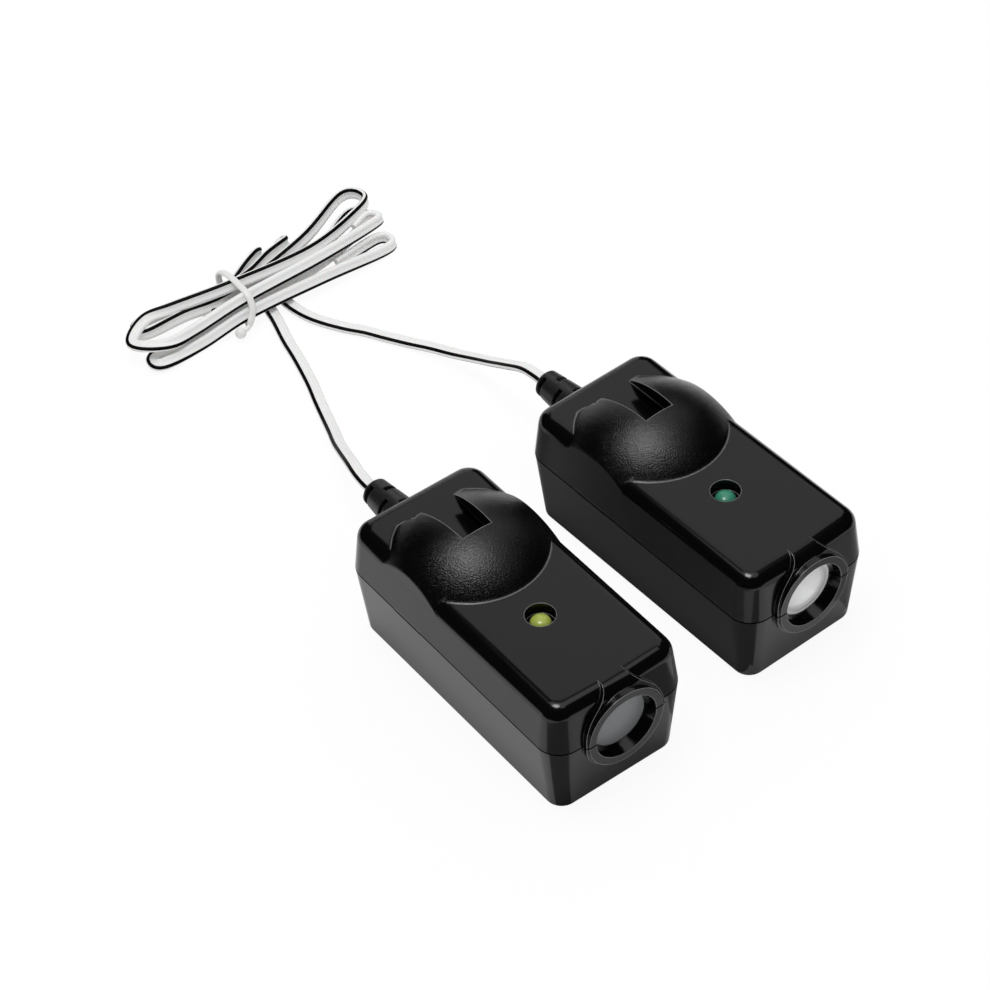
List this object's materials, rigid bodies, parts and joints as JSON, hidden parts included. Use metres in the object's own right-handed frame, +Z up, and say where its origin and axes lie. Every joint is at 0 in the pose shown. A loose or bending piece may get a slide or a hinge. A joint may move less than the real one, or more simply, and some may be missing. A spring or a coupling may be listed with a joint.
{
  "type": "gate safety photocell pair",
  "caption": "Boxy black beam sensor pair, lens at one end, domed bolt slot on top, slotted boot at the other; striped white twin leads tied in a flat hank.",
  "frame": {"origin": "centre of the sender's footprint, on the plane both housings and the wire lie on", "axes": "+Z up through the dome, -Y out of the sender's lens, the receiver stands at +X, turned about 2 degrees"},
  "size_m": [0.0957, 0.2067, 0.0398],
  "materials": {
    "shell_black": "satin ABS, faint moulded texture",
    "holder_black": "matte",
    "board_green": "solder mask",
    "screw_steel": "plated",
    "resistor_tan": "lacquered",
    "capacitor_blue": "sleeved",
    "chip_black": "moulded epoxy",
    "boot_rubber": "satin",
    "core_white": "smooth",
    "wire_white": "smooth PVC, one conductor with a black stripe",
    "tie_white": "smooth",
    "lens_grey": "flat, satin",
    "lens_clear": "domed, polished",
    "indicator_yellow": "tinted, polished",
    "indicator_green": "tinted, polished",
    "emitter_clear": "tinted, polished",
    "detector_dark": "tinted, polished",
    "can_steel": "tinned"
  },
  "bodies": {
    "root": {"sender_base": "shell_black", "sender_cover": "shell_black", "sender_lens": "lens_grey", "sender_lens_holder": "holder_black", "sender_indicator": "indicator_yellow", "sender_board": "board_green", "sender_board_screws": "screw_steel", "sender_resistors": "resistor_tan", "sender_capacitor": "capacitor_blue", "sender_rectifier": "chip_black", "sender_boot": "boot_rubber", "sender_inner_wires": "core_white", "sender_lead": "wire_white", "sender_hank": "wire_white", "sender_emitter": "emitter_clear", "sender_driver_chip": "chip_black", "receiver_base": "shell_black", "receiver_cover": "shell_black", "receiver_lens": "lens_clear", "receiver_lens_holder": "holder_black", "receiver_indicator": "indicator_green", "receiver_board": "board_green", "receiver_board_screws": "screw_steel", "receiver_resistors": "resistor_tan", "receiver_capacitor": "capacitor_blue", "receiver_rectifier": "chip_black", "receiver_boot": "boot_rubber", "receiver_inner_wires": "core_white", "receiver_lead": "wire_white", "receiver_hank": "wire_white", "receiver_photodiode": "detector_dark", "receiver_shield_can": "can_steel", "receiver_amplifier_chip": "chip_black", "hank_tie": "tie_white"}
  },
  "joints": []
}
